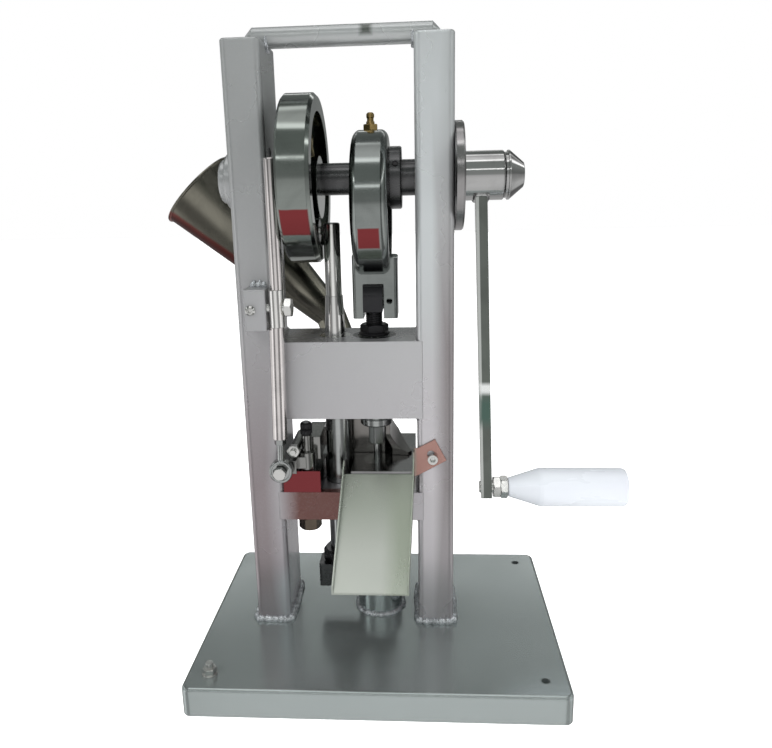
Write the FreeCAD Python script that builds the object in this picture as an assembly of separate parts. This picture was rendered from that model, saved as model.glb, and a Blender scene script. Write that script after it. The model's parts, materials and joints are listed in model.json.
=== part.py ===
import FreeCAD, Part
import math
import os

# Hand-cranked single-punch tablet press.
# Units are millimetres. +Z is up, +X points to the crank side, -Y is the operator's side.
# The origin is the centre of the underside of the base plate.

os.makedirs("parts", exist_ok=True)

# ---- driving dimensions ----
base_w = 300.0
base_d = 215.0
base_t = 24.0
base_edge = 3.0
base_corner = 7.0
hole_x = 131.0
hole_y = 89.0
hole_r = 3.3

frame_front = -15.0
frame_back = 45.0
left_outer = -109.0
left_inner = -79.0
right_inner = 34.0
right_outer = 64.0
upright_top = 504.0
upright_round = 5.0

beam_bottom = 211.0
beam_top = 275.5
bar_bottom = 121.0
bar_top = 146.0
table_top = 165.0
table_back = 81.0

shaft_y = 15.0
shaft_z = 402.0
shaft_r = 12.5
journal_r = 14.0
running_gap = 0.06
throw = 20.0
lift_half = 6.0

ram_x = -1.0
ram_y = 15.0
ram_r = 14.0

wheel_left = -66.5
wheel_right = -41.2
wheel_r = 65.5

lift_x = -34.0
lift_y = 15.0
lift_rod_r = 6.7
lift_tube_r = 11.0

rod_x = -72.8
rod_y = -28.0
rod_r = 5.2
rocker_z = 306.0
eye_x = -77.5
eye_z = 171.0

feeder_x = -59.0
feeder_y = -6.0

crank_z = 138.5
grip_left = 112.4
grip_right = 213.0


# ---- helpers ----
def vec(x, y, z):
    return FreeCAD.Vector(x, y, z)


def block(x0, x1, y0, y1, z0, z1):
    return Part.makeBox(x1 - x0, y1 - y0, z1 - z0, vec(x0, y0, z0))


def rod_along_x(x0, x1, y, z, r):
    return Part.makeCylinder(r, x1 - x0, vec(x0, y, z), vec(1, 0, 0))


def rod_along_y(x, y0, y1, z, r):
    return Part.makeCylinder(r, y1 - y0, vec(x, y0, z), vec(0, 1, 0))


def rod_along_z(x, y, z0, z1, r):
    return Part.makeCylinder(r, z1 - z0, vec(x, y, z0), vec(0, 0, 1))


def rod_between(a, b, r):
    return Part.makeCylinder(r, (b - a).Length, a, b - a)


def turned_along_x(profile, y, z):
    # profile: (x, radius) points of a closed half section, turned about the line through (y, z)
    points = [vec(x, y, z + r) for x, r in profile]
    points.append(points[0])
    face = Part.Face(Part.makePolygon(points))
    return face.revolve(vec(0, y, z), vec(1, 0, 0), 360)


def turned_along_z(profile, x, y):
    # profile: (radius, z) points of a closed half section
    points = [vec(x + r, y, z) for r, z in profile]
    points.append(points[0])
    face = Part.Face(Part.makePolygon(points))
    return face.revolve(vec(x, y, 0), vec(0, 0, 1), 360)


def hexagon(centre, axis, across_flats, length, turn=0.0):
    # hexagonal prism starting at centre and running along axis, with chamfered corners
    radius = across_flats / math.sqrt(3.0)
    points = []
    for i in range(6):
        angle = math.radians(60.0 * i + turn)
        points.append(vec(radius * math.cos(angle), radius * math.sin(angle), 0))
    points.append(points[0])
    prism = Part.Face(Part.makePolygon(points)).extrude(vec(0, 0, length))
    chamfer = 0.12 * across_flats
    flat = across_flats / 2.0
    cone = turned_along_z([(0, 0), (flat, 0), (flat + chamfer, chamfer * 0.6),
                           (flat + chamfer, length - chamfer * 0.6), (flat, length), (0, length)], 0, 0)
    prism = prism.common(cone)
    prism.Placement = FreeCAD.Placement(centre, FreeCAD.Rotation(vec(0, 0, 1), axis))
    return prism


def rounded_edges(shape, picker, radius):
    edges = [edge for edge in shape.Edges if picker(edge)]
    return shape.makeFillet(radius, edges)


def is_vertical(edge):
    a = edge.Vertexes[0].Point
    b = edge.Vertexes[-1].Point
    return abs(a.x - b.x) < 0.01 and abs(a.y - b.y) < 0.01 and abs(a.z - b.z) > 1.0


def save(name, *solids):
    shape = solids[0] if len(solids) == 1 else Part.makeCompound(list(solids))
    shape.exportStep("parts/" + name + ".step")


# ---- welded frame ----
base = block(-base_w / 2, base_w / 2, -base_d / 2, base_d / 2, 0, base_t)
base = rounded_edges(base, is_vertical, base_corner)
base = rounded_edges(base, lambda e: e.BoundBox.ZMin > base_t - 0.01, base_edge)
for sx in (-1, 1):
    for sy in (-1, 1):
        base = base.cut(rod_along_z(sx * hole_x, sy * hole_y, -1, base_t + 1, hole_r))
save("base_plate", base)

carry_y = shaft_y
carry_z = 508.0
carry_r = 7.8


def upright(x0, x1):
    post = block(x0, x1, frame_front, frame_back, base_t, upright_top)
    post = rounded_edges(post, is_vertical, upright_round)
    post = rounded_edges(post, lambda e: e.BoundBox.ZMin > upright_top - 0.01, 2.0)
    return post


left_bush_r = 18.0
right_bush_r = 20.0
left_post = upright(left_outer, left_inner)
left_post = left_post.cut(rod_along_x(left_outer - 1, left_inner + 1, shaft_y, shaft_z, left_bush_r))
left_post = left_post.cut(rod_along_x(left_outer - 1, left_inner + 1, carry_y, carry_z, carry_r))
right_post = upright(right_inner, right_outer)
right_post = right_post.cut(rod_along_x(right_inner - 1, right_outer + 1, shaft_y, shaft_z, right_bush_r))
right_post = right_post.cut(rod_along_x(right_inner - 1, right_outer + 1, carry_y, carry_z, carry_r))
save("left_upright", left_post)

carry = rod_along_x(left_outer + 14, right_outer - 10, carry_y, carry_z, carry_r)
carry = carry.makeChamfer(5.5, [e for e in carry.Edges if e.Curve.TypeId == "Part::GeomCircle"])
save("carry_bar", carry)



def groove_fill(x, side, y, y_side, z0, z1):
    # fills the rounded corner of an upright where a beam meets it, so the faces run flush
    r = upright_round
    corner = block(min(x, x + side * r), max(x, x + side * r), min(y, y + y_side * r),
                   max(y, y + y_side * r), z0, z1)
    return corner.cut(rod_along_z(x + side * r, y + y_side * r, z0 - 1, z1 + 1, r))


def corner_weld(x, side, z, up):
    # small concave weld run between a beam and the inner face of an upright
    r = 2.2
    piece = block(min(x, x + side * r), max(x, x + side * r), frame_front + 0.6, frame_back - 0.6,
                  min(z, z + up * r), max(z, z + up * r))
    return piece.cut(rod_along_y(x + side * r, frame_front, frame_back, z + up * r, r))


def cross_member(z0, z1, weld_on_top):
    member = block(left_inner, right_inner, frame_front, frame_back, z0, z1)
    extra = []
    for x, out, inward in ((left_inner, -1, 1), (right_inner, 1, -1)):
        extra.append(groove_fill(x, out, frame_front, 1, z0, z1))
        extra.append(groove_fill(x, out, frame_back, -1, z0, z1))
        extra.append(corner_weld(x, inward, z0, -1))
        if weld_on_top:
            extra.append(corner_weld(x, inward, z1, 1))
    return member.fuse(extra).removeSplitter()


beam = cross_member(beam_bottom, beam_top, True)
ram_bush_r = 18.0
lift_bush_r = 13.0
beam = beam.cut(rod_along_z(ram_x, ram_y, beam_bottom - 1, beam_top + 1, ram_bush_r))
beam = beam.cut(rod_along_z(lift_x, lift_y, beam_bottom - 1, beam_top + 1, lift_bush_r))
save("upper_crossbeam", beam)

stud_r = 3.0
punch_shank_r = 7.0
bar = cross_member(bar_bottom, bar_top, False)
bar = bar.cut(rod_along_z(ram_x, ram_y, bar_bottom - 1, bar_top + 1, punch_shank_r + 0.5))
bar = bar.cut(rod_along_z(lift_x, lift_y, bar_bottom - 1, bar_top + 1, lift_tube_r + 0.5))
bar = bar.cut(rod_along_z(feeder_x, feeder_y, bar_bottom - 1, bar_top + 1, stud_r))
save("lower_crossbar", bar)

# weld beads round the feet of the uprights, each a rectangular ring with a sloping outer face
bead = 4.0


def foot_weld(x0, x1):
    outer = block(x0 - bead, x1 + bead, frame_front - bead, frame_back + bead, base_t, base_t + bead)
    outer = rounded_edges(outer, is_vertical, upright_round + bead - 0.5)
    outer = rounded_edges(outer, lambda e: e.BoundBox.ZMin > base_t + bead - 0.01, bead * 0.75)
    core = block(x0, x1, frame_front, frame_back, base_t - 1, base_t + bead + 1)
    core = rounded_edges(core, is_vertical, upright_round)
    return outer.cut(core)


foot_guide_r = 20.0
guide_bead = turned_along_z([(foot_guide_r, base_t), (23.6, base_t), (23.2, base_t + 1.6),
                             (21.8, base_t + 3.0),
                             (foot_guide_r, base_t + 3.8)], ram_x, ram_y)
save("foot_welds", foot_weld(left_outer, left_inner), foot_weld(right_inner, right_outer), guide_bead)

# ---- bearings ----
left_bush = rod_along_x(left_outer, left_inner, shaft_y, shaft_z, left_bush_r)
left_bush = left_bush.cut(rod_along_x(left_outer - 1, left_inner + 1, shaft_y, shaft_z,
                                      shaft_r + running_gap))
right_bush = rod_along_x(right_inner, right_outer, shaft_y, shaft_z, right_bush_r)
right_bush = right_bush.cut(
    rod_along_x(right_inner - 1, right_outer + 1, shaft_y, shaft_z, journal_r + running_gap))
save("shaft_bushes", left_bush, right_bush)

cap = turned_along_x([(-109, 0), (-109, 22.5), (-113.5, 22.5), (-115, 21), (-115, 17), (-119, 17),
                      (-120.5, 15.5),
                      (-120.5, 0)], shaft_y, shaft_z)
save("left_bearing_cap", cap)
flange = turned_along_x([(64, 14.4), (64, 40.5), (65.2, 42), (70.5, 42), (71.7, 40.8), (71.7, 14.4)],
                        shaft_y, shaft_z)
save("right_bearing_flange", flange)

ram_bush = rod_along_z(ram_x, ram_y, beam_bottom, beam_top, ram_bush_r)
ram_bush = ram_bush.cut(rod_along_z(ram_x, ram_y, beam_bottom - 1, beam_top + 1, ram_r + running_gap))
save("ram_guide_bush", ram_bush)

guide = rod_along_z(lift_x, lift_y, beam_bottom, beam_top, lift_bush_r)
guide = guide.fuse(turned_along_z([(0, beam_top - 1), (8.7, beam_top - 1), (8.7, beam_top),
                                   (7.4, 309.0), (0, 309.0)],
                                  lift_x, lift_y))
guide = guide.cut(rod_along_z(lift_x, lift_y, beam_bottom - 1, 310.0, lift_rod_r + running_gap))
guide = guide.cut(rod_along_z(lift_x, lift_y, beam_bottom - 1, 240.0, lift_tube_r + 0.1))
guide = guide.removeSplitter()
save("lift_guide_bush", guide)

# ---- crankshaft ----
shaft = rod_along_x(-108.5, -13.0, shaft_y, shaft_z, shaft_r)
shaft = shaft.fuse(rod_along_x(-13.0, 72.6, shaft_y, shaft_z, journal_r))
shaft = shaft.fuse(rod_along_x(72.6, 104.0, shaft_y, shaft_z, 13.0)).removeSplitter()
dowel_r = 2.0
ram_dowel_z = shaft_z - throw / 2
lift_dowel_z = shaft_z - lift_half / 2
shaft = shaft.cut(rod_along_x(75.0, 105.0, shaft_y, ram_dowel_z, dowel_r + running_gap))
shaft = shaft.cut(rod_along_x(75.0, 105.0, shaft_y, lift_dowel_z, dowel_r + running_gap))
save("main_shaft", shaft)
save("ram_timing_dowel", rod_along_x(75.5, 103.5, shaft_y, ram_dowel_z, dowel_r))
save("lift_timing_dowel", rod_along_x(75.5, 103.5, shaft_y, lift_dowel_z, dowel_r))

# the wheel carries the feeder track in its left face and the lifting pocket in its right face
wheel = turned_along_x([(wheel_left, shaft_r), (wheel_left, wheel_r - 2), (wheel_left + 2, wheel_r),
                        (wheel_right - 2.6, wheel_r), (wheel_right, wheel_r - 2.6), (wheel_right, shaft_r)],
                       shaft_y, shaft_z)
pocket_floor = -54.8
cam_r = 24.4
cam_z = shaft_z - lift_half
pocket = rod_along_x(pocket_floor, wheel_right + 1, shaft_y, shaft_z, 52.0)
pocket = pocket.cut(rod_along_x(pocket_floor - 1, wheel_right + 2, shaft_y, cam_z, cam_r))
wheel = wheel.cut(pocket)
track = rod_along_x(wheel_left - 1, wheel_left + 6.5, shaft_y, shaft_z, 52.0)
track = track.cut(rod_along_x(wheel_left - 2, wheel_left + 8, shaft_y, shaft_z, 34.0))
wheel = wheel.cut(track)
save("cam_wheel", wheel)

sheave_z = shaft_z - throw
sheave_r = 42.0
sheave = rod_along_x(-9.0, 9.0, shaft_y, sheave_z, sheave_r)
sheave = sheave.cut(rod_along_x(-10.0, 10.0, shaft_y, shaft_z, journal_r))
save("eccentric_sheave", sheave)

collar = turned_along_x([(9.0, journal_r), (9.0, 21.5), (14.4, 21.5), (14.4, 24.2), (22.6, 24.2),
                         (23.6, 23.2),
                         (23.6, journal_r)], shaft_y, shaft_z)
grub_hole_z = 10.0
collar = collar.cut(rod_along_y(19.0, -12.0, 4.0, shaft_z + grub_hole_z, 2.2))
notch = block(13.9, 24.6, shaft_y - 4.5, shaft_y + 1.0, shaft_z + 21.4, shaft_z + 26)
collar = collar.cut(notch)
save("eccentric_collar", collar)

hub = rod_along_x(72.8, 103.2, shaft_y, shaft_z, 19.0)
hub = hub.cut(rod_along_x(72.0, 104.0, shaft_y, shaft_z, 13.0))
hub = rounded_edges(hub, lambda e: e.BoundBox.XMax > 103.0 and e.BoundBox.ZMax > shaft_z + 18.5, 1.2)
save("crank_hub", hub)
cone = turned_along_x([(104.0, 0), (104.0, 17.6), (106.2, 17.6), (106.2, 19.0), (107.6, 19.0), (118.6, 9.6),
                       (119.0, 8.6), (119.0, 0)], shaft_y, shaft_z)
save("hub_cone_nut", cone)

arm_top = vec(85.6, shaft_y, shaft_z)
arm_foot = vec(93.6, shaft_y, crank_z)
arm_t = 9.4
arm_turn = 3.0
arm_length = (arm_foot - arm_top).Length
arm_side = [vec(0, -12.5, 0), vec(0, 12.5, 0), vec(0, 9.0, arm_length + 7), vec(0, -9.0, arm_length + 7)]
arm_side.append(arm_side[0])
arm = Part.Face(Part.makePolygon(arm_side)).extrude(vec(arm_t, 0, 0))
arm.translate(vec(-arm_t / 2, 0, 0))
arm.rotate(vec(0, 0, 0), vec(0, 0, 1), arm_turn)
arm_place = FreeCAD.Placement(arm_top, FreeCAD.Rotation(vec(0, 0, 1), arm_foot - arm_top))
arm.Placement = arm_place.multiply(arm.Placement)
arm = arm.cut(rod_along_x(60.0, 130.0, shaft_y, shaft_z, 19.0))
arm = arm.cut(rod_along_x(80.0, 110.0, shaft_y, crank_z, 5.0))
arm = max(arm.Solids, key=lambda s: s.Volume)
save("crank_arm", arm)

spindle = rod_along_x(87.6, 208.0, shaft_y, crank_z, 5.0)
save("grip_spindle", spindle)
nut_a = hexagon(vec(99.4, shaft_y, crank_z), vec(1, 0, 0), 17.0, 6.2, 10.0)
nut_b = hexagon(vec(105.6, shaft_y, crank_z), vec(1, 0, 0), 17.0, 6.4, 34.0)
bore = rod_along_x(98.0, 113.0, shaft_y, crank_z, 5.0)
save("spindle_nuts", nut_a.cut(bore), nut_b.cut(bore))
grip = turned_along_x([(grip_left, 5.08), (grip_left, 7.8), (grip_left + 0.8, 8.4),
                       (grip_left + 25.5, 16.2),
                       (grip_left + 28.5, 16.7), (grip_right - 3, 16.4), (grip_right - 0.8, 15.4),
                       (grip_right, 13.2), (grip_right, 0), (208.4, 0), (208.4, 5.08)], shaft_y, crank_z)
save("crank_grip", grip)

# ---- eccentric strap with its fork ----
strap_r = 56.8
bore_r = sheave_r + running_gap
strap_left = -14.4
strap_right = 13.6
wide_bore_r = sheave_r + 2.5


def at_strap(x, radius):
    return vec(x, shaft_y, sheave_z + radius)


# half section of the ring: flat band with one rounded shoulder on each side
left_shoulder = Part.Arc(at_strap(strap_left, strap_r - 7.5), at_strap(strap_left + 1.5, strap_r - 2.6),
                         at_strap(-9.6, strap_r)).toShape()
band = Part.makeLine(at_strap(-9.6, strap_r), at_strap(8.8, strap_r))
right_shoulder = Part.Arc(at_strap(8.8, strap_r), at_strap(12.4, strap_r - 2.6),
                          at_strap(strap_right, strap_r - 8.0)).toShape()
inside = Part.makePolygon([at_strap(strap_right, strap_r - 8.0), at_strap(strap_right, wide_bore_r),
                           at_strap(9.4, wide_bore_r), at_strap(9.4, bore_r), at_strap(strap_left, bore_r),
                           at_strap(strap_left, strap_r - 7.5)])
section = Part.Wire([left_shoulder, band, right_shoulder] + inside.Edges)
strap = Part.Face(section).revolve(at_strap(0, 0), vec(1, 0, 0), 360)
fork_foot = 291.8
fork = block(-17.0, 19.2, shaft_y - 17, shaft_y + 17, fork_foot, 345.0)
fork = rounded_edges(fork, is_vertical, 3.0)
fork = fork.cut(rod_along_x(-18.0, 9.4, shaft_y, sheave_z, bore_r))
fork = fork.cut(rod_along_x(9.4, 20.0, shaft_y, sheave_z, wide_bore_r + 0.1))
strap = strap.fuse(fork)
head_left = -7.9
head_right = 7.5
head_top = 319.0
slot = block(head_left - 0.5, head_right + 0.5, -20, 50, fork_foot - 1, head_top + 0.6)
strap = strap.cut(slot)
pin_z = 306.0
pin_r = 4.0
strap = strap.cut(rod_along_x(-12.0, 15.0, shaft_y, pin_z, pin_r))
strap = strap.cut(rod_along_y(12.6, -5.0, 12.0, pin_z, 2.3))
nipple_z = sheave_z + strap_r - 0.5
strap = strap.cut(rod_along_z(-0.4, shaft_y, nipple_z, nipple_z + 3, 6.6))
strap = strap.cut(rod_along_z(-0.4, shaft_y, sheave_z + sheave_r - 1, sheave_z + 60, 2.0)).removeSplitter()
save("eccentric_strap", strap)
save("wrist_pin", rod_along_x(-12.0, 15.0, shaft_y, pin_z, pin_r))

nipple = hexagon(vec(-0.4, shaft_y, nipple_z), vec(0, 0, 1), 10.6, 4.6, 30.0)
nipple = nipple.fuse(turned_along_z([(0, nipple_z + 4), (3.3, nipple_z + 4), (3.3, nipple_z + 6.4),
                                     (2.6, nipple_z + 7.2), (2.6, nipple_z + 9.0), (3.1, nipple_z + 9.8),
                                     (3.1, nipple_z + 12.2), (1.9, nipple_z + 13.4), (0, nipple_z + 13.4)],
                                    -0.4, shaft_y)).removeSplitter()
save("grease_nipple", nipple)

# ---- ram ----
head_half = 28.0
head_foot = 298.8
head = block(head_left, head_right, ram_y - head_half, ram_y + head_half, head_foot, head_top)
head = rounded_edges(head, lambda e: e.BoundBox.ZMin > head_top - 0.1 and e.BoundBox.XLength > 5, 8.5)
head_slot = block(head_left - 1, head_right + 1, ram_y - throw, ram_y + throw, pin_z - pin_r - 0.35,
                  pin_z + pin_r + 0.35)
for side in (-1, 1):
    head_slot = head_slot.fuse(rod_along_x(head_left - 1, head_right + 1, ram_y + side * throw, pin_z,
                                           pin_r + 0.35))
head = head.cut(head_slot)
neck = rod_along_z(ram_x, ram_y, 276.0, head_foot, 6.7)
head = head.fuse(neck).removeSplitter()
save("pressure_screw", head)
nut = hexagon(vec(ram_x, ram_y, 278.2), vec(0, 0, 1), 20.6, 6.6, 10.0)
nut = nut.fuse(turned_along_z([(0, 276.0), (12.4, 276.0), (12.8, 276.5), (12.8, 277.6), (11.0, 278.8),
                               (0, 278.8)],
                              ram_x, ram_y))
nut = nut.cut(rod_along_z(ram_x, ram_y, 275.0, 286.0, 6.7)).removeSplitter()
save("lock_nut", nut)
ram = turned_along_z([(0, 197.6), (12.6, 197.6), (ram_r - 0.4, 198.6), (ram_r - 0.4, 203.4),
                      (ram_r - 1, 204.0),
                      (ram_r, 205.0), (ram_r, 275.0), (ram_r - 1, 276.0), (0, 276.0)], ram_x, ram_y)
save("ram", ram)
punch_r = 2.9
punch_nut = hexagon(vec(ram_x, ram_y, 180.4), vec(0, 0, 1), 12.2, 17.2, 20.0)
punch_nut = punch_nut.cut(rod_along_z(ram_x, ram_y, 180.0, 198.0, punch_r))
save("punch_nut", punch_nut)
upper_punch = rod_along_z(ram_x, ram_y, 157.5, 197.6, punch_r)
save("upper_punch", upper_punch)

# ---- die table, die and discharge chute ----
table = block(left_inner, right_inner - 1.6, frame_front, table_back, bar_top, table_top)
table = table.cut(block(lift_x - 13.4, lift_x + 12.4, frame_front - 1, lift_y, bar_top - 1, table_top + 1))
table = table.cut(rod_along_z(lift_x, lift_y, bar_top - 1, table_top + 1, 12.4))
die_r = 12.0
table = table.cut(rod_along_z(ram_x, ram_y, bar_top - 1, table_top + 1, die_r))
table = table.cut(rod_along_z(feeder_x, feeder_y, bar_top - 1, table_top + 1, stud_r))
save("die_table", table)
die = rod_along_z(ram_x, ram_y, bar_top, table_top, die_r)
die = die.cut(rod_along_z(ram_x, ram_y, bar_top - 1, table_top + 1, punch_r + 0.05))
die = die.cut(rod_along_z(ram_x, ram_y, bar_top - 1, 148.0, punch_shank_r + 0.5))
save("die", die)

# sheet-metal trough: starts under the front edge of the table and runs down towards the operator
chute_start_y = frame_front - 0.2
chute_start_z = 163.0
chute_end_y = -100.0
chute_end_z = 103.6
sheet = 1.2
wall_h = 11.0
chute_angle = math.atan2(chute_start_z - chute_end_z, chute_start_y - chute_end_y)
drop = sheet / math.cos(chute_angle)
chute_left = -27.5
chute_right = 32.0


def left_at(y):
    return chute_left + 2.6 * (y - chute_start_y) / (chute_start_y - chute_end_y)


def right_at(y):
    return chute_right + 4.6 * (y - chute_start_y) / (chute_start_y - chute_end_y)


def trough_wall(x_at, offset, points):
    wire = Part.makePolygon([vec(x_at(y) + offset, y, z) for y, z in points + [points[0]]])
    return Part.Face(wire).extrude(vec(sheet, 0, 0))


floor = Part.Face(Part.makePolygon([vec(left_at(chute_start_y), chute_start_y, chute_start_z),
                                    vec(right_at(chute_start_y), chute_start_y, chute_start_z),
                                    vec(right_at(chute_end_y), chute_end_y, chute_end_z),
                                    vec(left_at(chute_end_y), chute_end_y, chute_end_z),
                                    vec(left_at(chute_start_y), chute_start_y, chute_start_z)]))
floor = floor.extrude(vec(0, 0, -drop))
left_wall = trough_wall(left_at, 0.0, [(chute_start_y, chute_start_z - drop),
                                       (chute_start_y, chute_start_z + wall_h + 1),
                                       (chute_end_y, chute_end_z + 5), (chute_end_y, chute_end_z - drop)])
right_wall = trough_wall(right_at, -sheet, [(chute_start_y, chute_start_z - drop), (chute_start_y, 186.0),
                                            (chute_start_y - 7, 184.5),
                                            (chute_start_y - 16, chute_start_z + 3),
                                            (chute_end_y, chute_end_z + 7),
                                            (chute_end_y, chute_end_z - drop)])
tab_points = [vec(chute_right - sheet, 0, 160.5), vec(chute_right - sheet, 0, 186.0), vec(34.4, 0, 186.0),
              vec(48.6, 0, 193.6), vec(58.0, 0, 175.2), vec(36.0, 0, 163.0)]
tab_points.append(tab_points[0])
tab = Part.Face(Part.makePolygon(tab_points)).extrude(vec(0, -sheet, 0))
tab.translate(vec(0, chute_start_y + 0.2, 0))
tab_screw_x = 46.6
tab_screw_z = 177.2
tab_slot = rod_along_y(tab_screw_x, -20, -10, tab_screw_z, 3.0)
tab_slot = tab_slot.fuse(rod_along_y(tab_screw_x - 1.4, -20, -10, tab_screw_z + 3.6, 3.0))
lip = block(chute_left, chute_right, chute_start_y + 0.2 - sheet, chute_start_y + 0.2, chute_start_z - 12,
            chute_start_z - drop + 0.4)
chute = floor.fuse([left_wall, right_wall, tab, lip]).cut(tab_slot).removeSplitter()
save("discharge_chute", chute)
screw = rod_along_y(tab_screw_x, -16.4 - 4.2, -16.4 + 0.2, tab_screw_z, 4.2)
screw = screw.fuse(rod_along_y(tab_screw_x, -16.2, -6.0, tab_screw_z, 2.4))
screw = screw.cut(hexagon(vec(tab_screw_x, -21.0, tab_screw_z), vec(0, 1, 0), 4.0, 3.2)).removeSplitter()
right_post = right_post.cut(rod_along_y(tab_screw_x, -16.0, -6.0, tab_screw_z, 2.4))
save("right_upright", right_post)
save("chute_screw", screw)

# ---- lifter: rod, roller, arm and lower punch ----
lift_top = 368.0
lift_rod = turned_along_z([(0, 240.5), (lift_rod_r, 240.5), (lift_rod_r, lift_top - 1),
                           (lift_rod_r - 1, lift_top),
                           (0, lift_top)], lift_x, lift_y)
roller_z = shaft_z - 40.0
lift_rod = lift_rod.fuse(rod_along_x(-53.6, lift_x, lift_y, roller_z, 3.5)).removeSplitter()
save("lift_rod", lift_rod)
roller = rod_along_x(-53.2, -43.4, lift_y, roller_z, 9.0)
roller = roller.cut(rod_along_x(-55.0, -42.0, lift_y, roller_z, 3.5))
save("lift_roller", roller)
arm_low = 46.8
arm_high = 68.0
lift_tube = turned_along_z([(0, arm_high), (lift_tube_r, arm_high), (lift_tube_r, 227.0),
                            (lift_rod_r, 227.6),
                            (lift_rod_r, 240.5), (0, 240.5)], lift_x, lift_y)
save("lift_adjusting_tube", lift_tube)
tube_nut = hexagon(vec(lift_x, lift_y, arm_high), vec(0, 0, 1), 30.0, 13.0, 8.0)
tube_nut = tube_nut.cut(rod_along_z(lift_x, lift_y, arm_high - 1, arm_high + 14, lift_tube_r))
save("lift_tube_nut", tube_nut)
lift_arm = block(-54.8, ram_x + 15.0, ram_y - 11.0, ram_y + 11.0, arm_low, arm_high)
lift_arm = rounded_edges(lift_arm, is_vertical, 2.0)
lower_stem = turned_along_z([(0, arm_high), (punch_shank_r, arm_high), (punch_shank_r, 134.5),
                             (punch_r, 135.0),
                             (punch_r, 153.0), (0, 153.0)], ram_x, ram_y)
save("lower_punch", lower_stem)
lift_arm = lift_arm.fuse(rod_along_z(ram_x, ram_y, 28.0, arm_low + 1, 6.0)).removeSplitter()
save("lift_arm", lift_arm)
foot_guide = turned_along_z([(6.1, base_t), (foot_guide_r, base_t), (foot_guide_r, 43.0),
                             (foot_guide_r - 1, 44.0),
                             (6.1, 44.0)], ram_x, ram_y)
save("lower_guide_cylinder", foot_guide)

# ---- feeder drive: rocker on a bracket of the left upright ----
bracket_front = -34.6
bracket = block(-98.2, -81.2, bracket_front, frame_front, 288.5, 321.0)
bracket = rounded_edges(bracket, lambda e: e.BoundBox.YMax < bracket_front + 0.1, 1.2)
bolt_r = 4.0
bracket = bracket.cut(rod_along_x(-95.0, -80.0, rod_y, rocker_z, bolt_r))
save("rocker_bracket", bracket)
bracket_screw = turned_along_z([(0, 0), (4.0, 0), (4.0, 1.4), (2.6, 3.0), (0, 3.2)], 0, 0)
bracket_screw = bracket_screw.cut(hexagon(vec(0, 0, 1.6), vec(0, 0, 1), 2.6, 3.0))
bracket_screw.Placement = FreeCAD.Placement(vec(-93.0, bracket_front, rocker_z - 1),
                                            FreeCAD.Rotation(vec(0, 0, 1), vec(0, -1, 0)))
save("bracket_screw", bracket_screw)
sleeve_x = -73.9
sleeve_r = 6.3
sleeve = rod_along_z(sleeve_x, rod_y, rocker_z - 15.0, rocker_z + 14.0, sleeve_r)
sleeve = sleeve.cut(rod_along_x(-82.0, -60.0, rod_y, rocker_z, bolt_r + 0.08))
save("rocker_sleeve", sleeve)
pivot_bolt = rod_along_x(-94.0, -67.3, rod_y, rocker_z, bolt_r)
pivot_head = hexagon(vec(-67.3, rod_y, rocker_z), vec(1, 0, 0), 13.4, 5.6, 16.0)
pivot = pivot_bolt.fuse(pivot_head).removeSplitter()
save("rocker_pivot_bolt", pivot)
rod_top_z = 418.0
upper_rod = turned_along_z([(0, rocker_z + 14.0), (rod_r, rocker_z + 14.0), (rod_r, rod_top_z - 1),
                            (rod_r - 1, rod_top_z), (0, rod_top_z)], rod_x, rod_y)
upper_rod = upper_rod.cut(rod_along_x(rod_x, -60.0, rod_y, 401.0, 2.5))
lower_rod_r = 6.0
lower_start = vec(-74.6, rod_y, rocker_z - 16.0)
eye_centre = vec(eye_x, rod_y, eye_z)
along = (eye_centre - lower_start).normalize()
reach = (eye_centre - lower_start).Length
lower_rod = rod_between(lower_start - along * 4, lower_start + along * (reach - 28.0), lower_rod_r)
lower_rod = lower_rod.cut(block(-90, -50, -40, -10, rocker_z - 15.0, rocker_z + 10))
lower_rod = lower_rod.cut(rod_along_x(-82.0, -60.0, rod_y, rocker_z, bolt_r + 0.08))
save("rocker_rod", upper_rod, lower_rod)
follower = rod_along_x(rod_x, -61.0, rod_y, 401.0, 2.5)
follower = follower.fuse(rod_along_x(-66.0, -61.0, rod_y, 401.0, 5.0)).removeSplitter()
save("cam_follower", follower)
eye = rod_along_y(eye_x, rod_y - 4.0, rod_y + 4.0, eye_z, 9.7)
eye = rounded_edges(eye, lambda e: True, 1.2)
eye = eye.cut(rod_along_y(eye_x, rod_y - 5.0, rod_y - 3.2, eye_z, 7.5))
shank = rod_between(lower_start + along * (reach - 28.0), lower_start + along * (reach - 7.0), 2.8)
eye = eye.fuse(shank)
eye_nut = hexagon(lower_start + along * (reach - 28.0), along, 8.4, 5.0)
eye = eye.fuse(eye_nut)
# the bore is a short slot, because the bolt swings sideways with the feeder lever
bolt_play = 0.35
slot_run = 2.7
slot_r = 3.0 + bolt_play
eye_slot = block(eye_x - slot_run, eye_x, rod_y - 10.0, rod_y + 10.0, eye_z - slot_r, eye_z + slot_r)
for end_x in (eye_x - slot_run, eye_x):
    eye_slot = eye_slot.fuse(rod_along_y(end_x, rod_y - 10.0, rod_y + 10.0, eye_z, slot_r))
eye = eye.cut(eye_slot.removeSplitter())
save("rod_end", eye)
eye_bolt = hexagon(vec(eye_x, rod_y - 5.2, eye_z), vec(0, -1, 0), 9.6, 4.4, 8.0)
eye_bolt = eye_bolt.fuse(rod_along_y(eye_x, rod_y - 5.2, rod_y + 9.2, eye_z, 3.0)).removeSplitter()
save("rod_end_bolt", eye_bolt)

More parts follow.
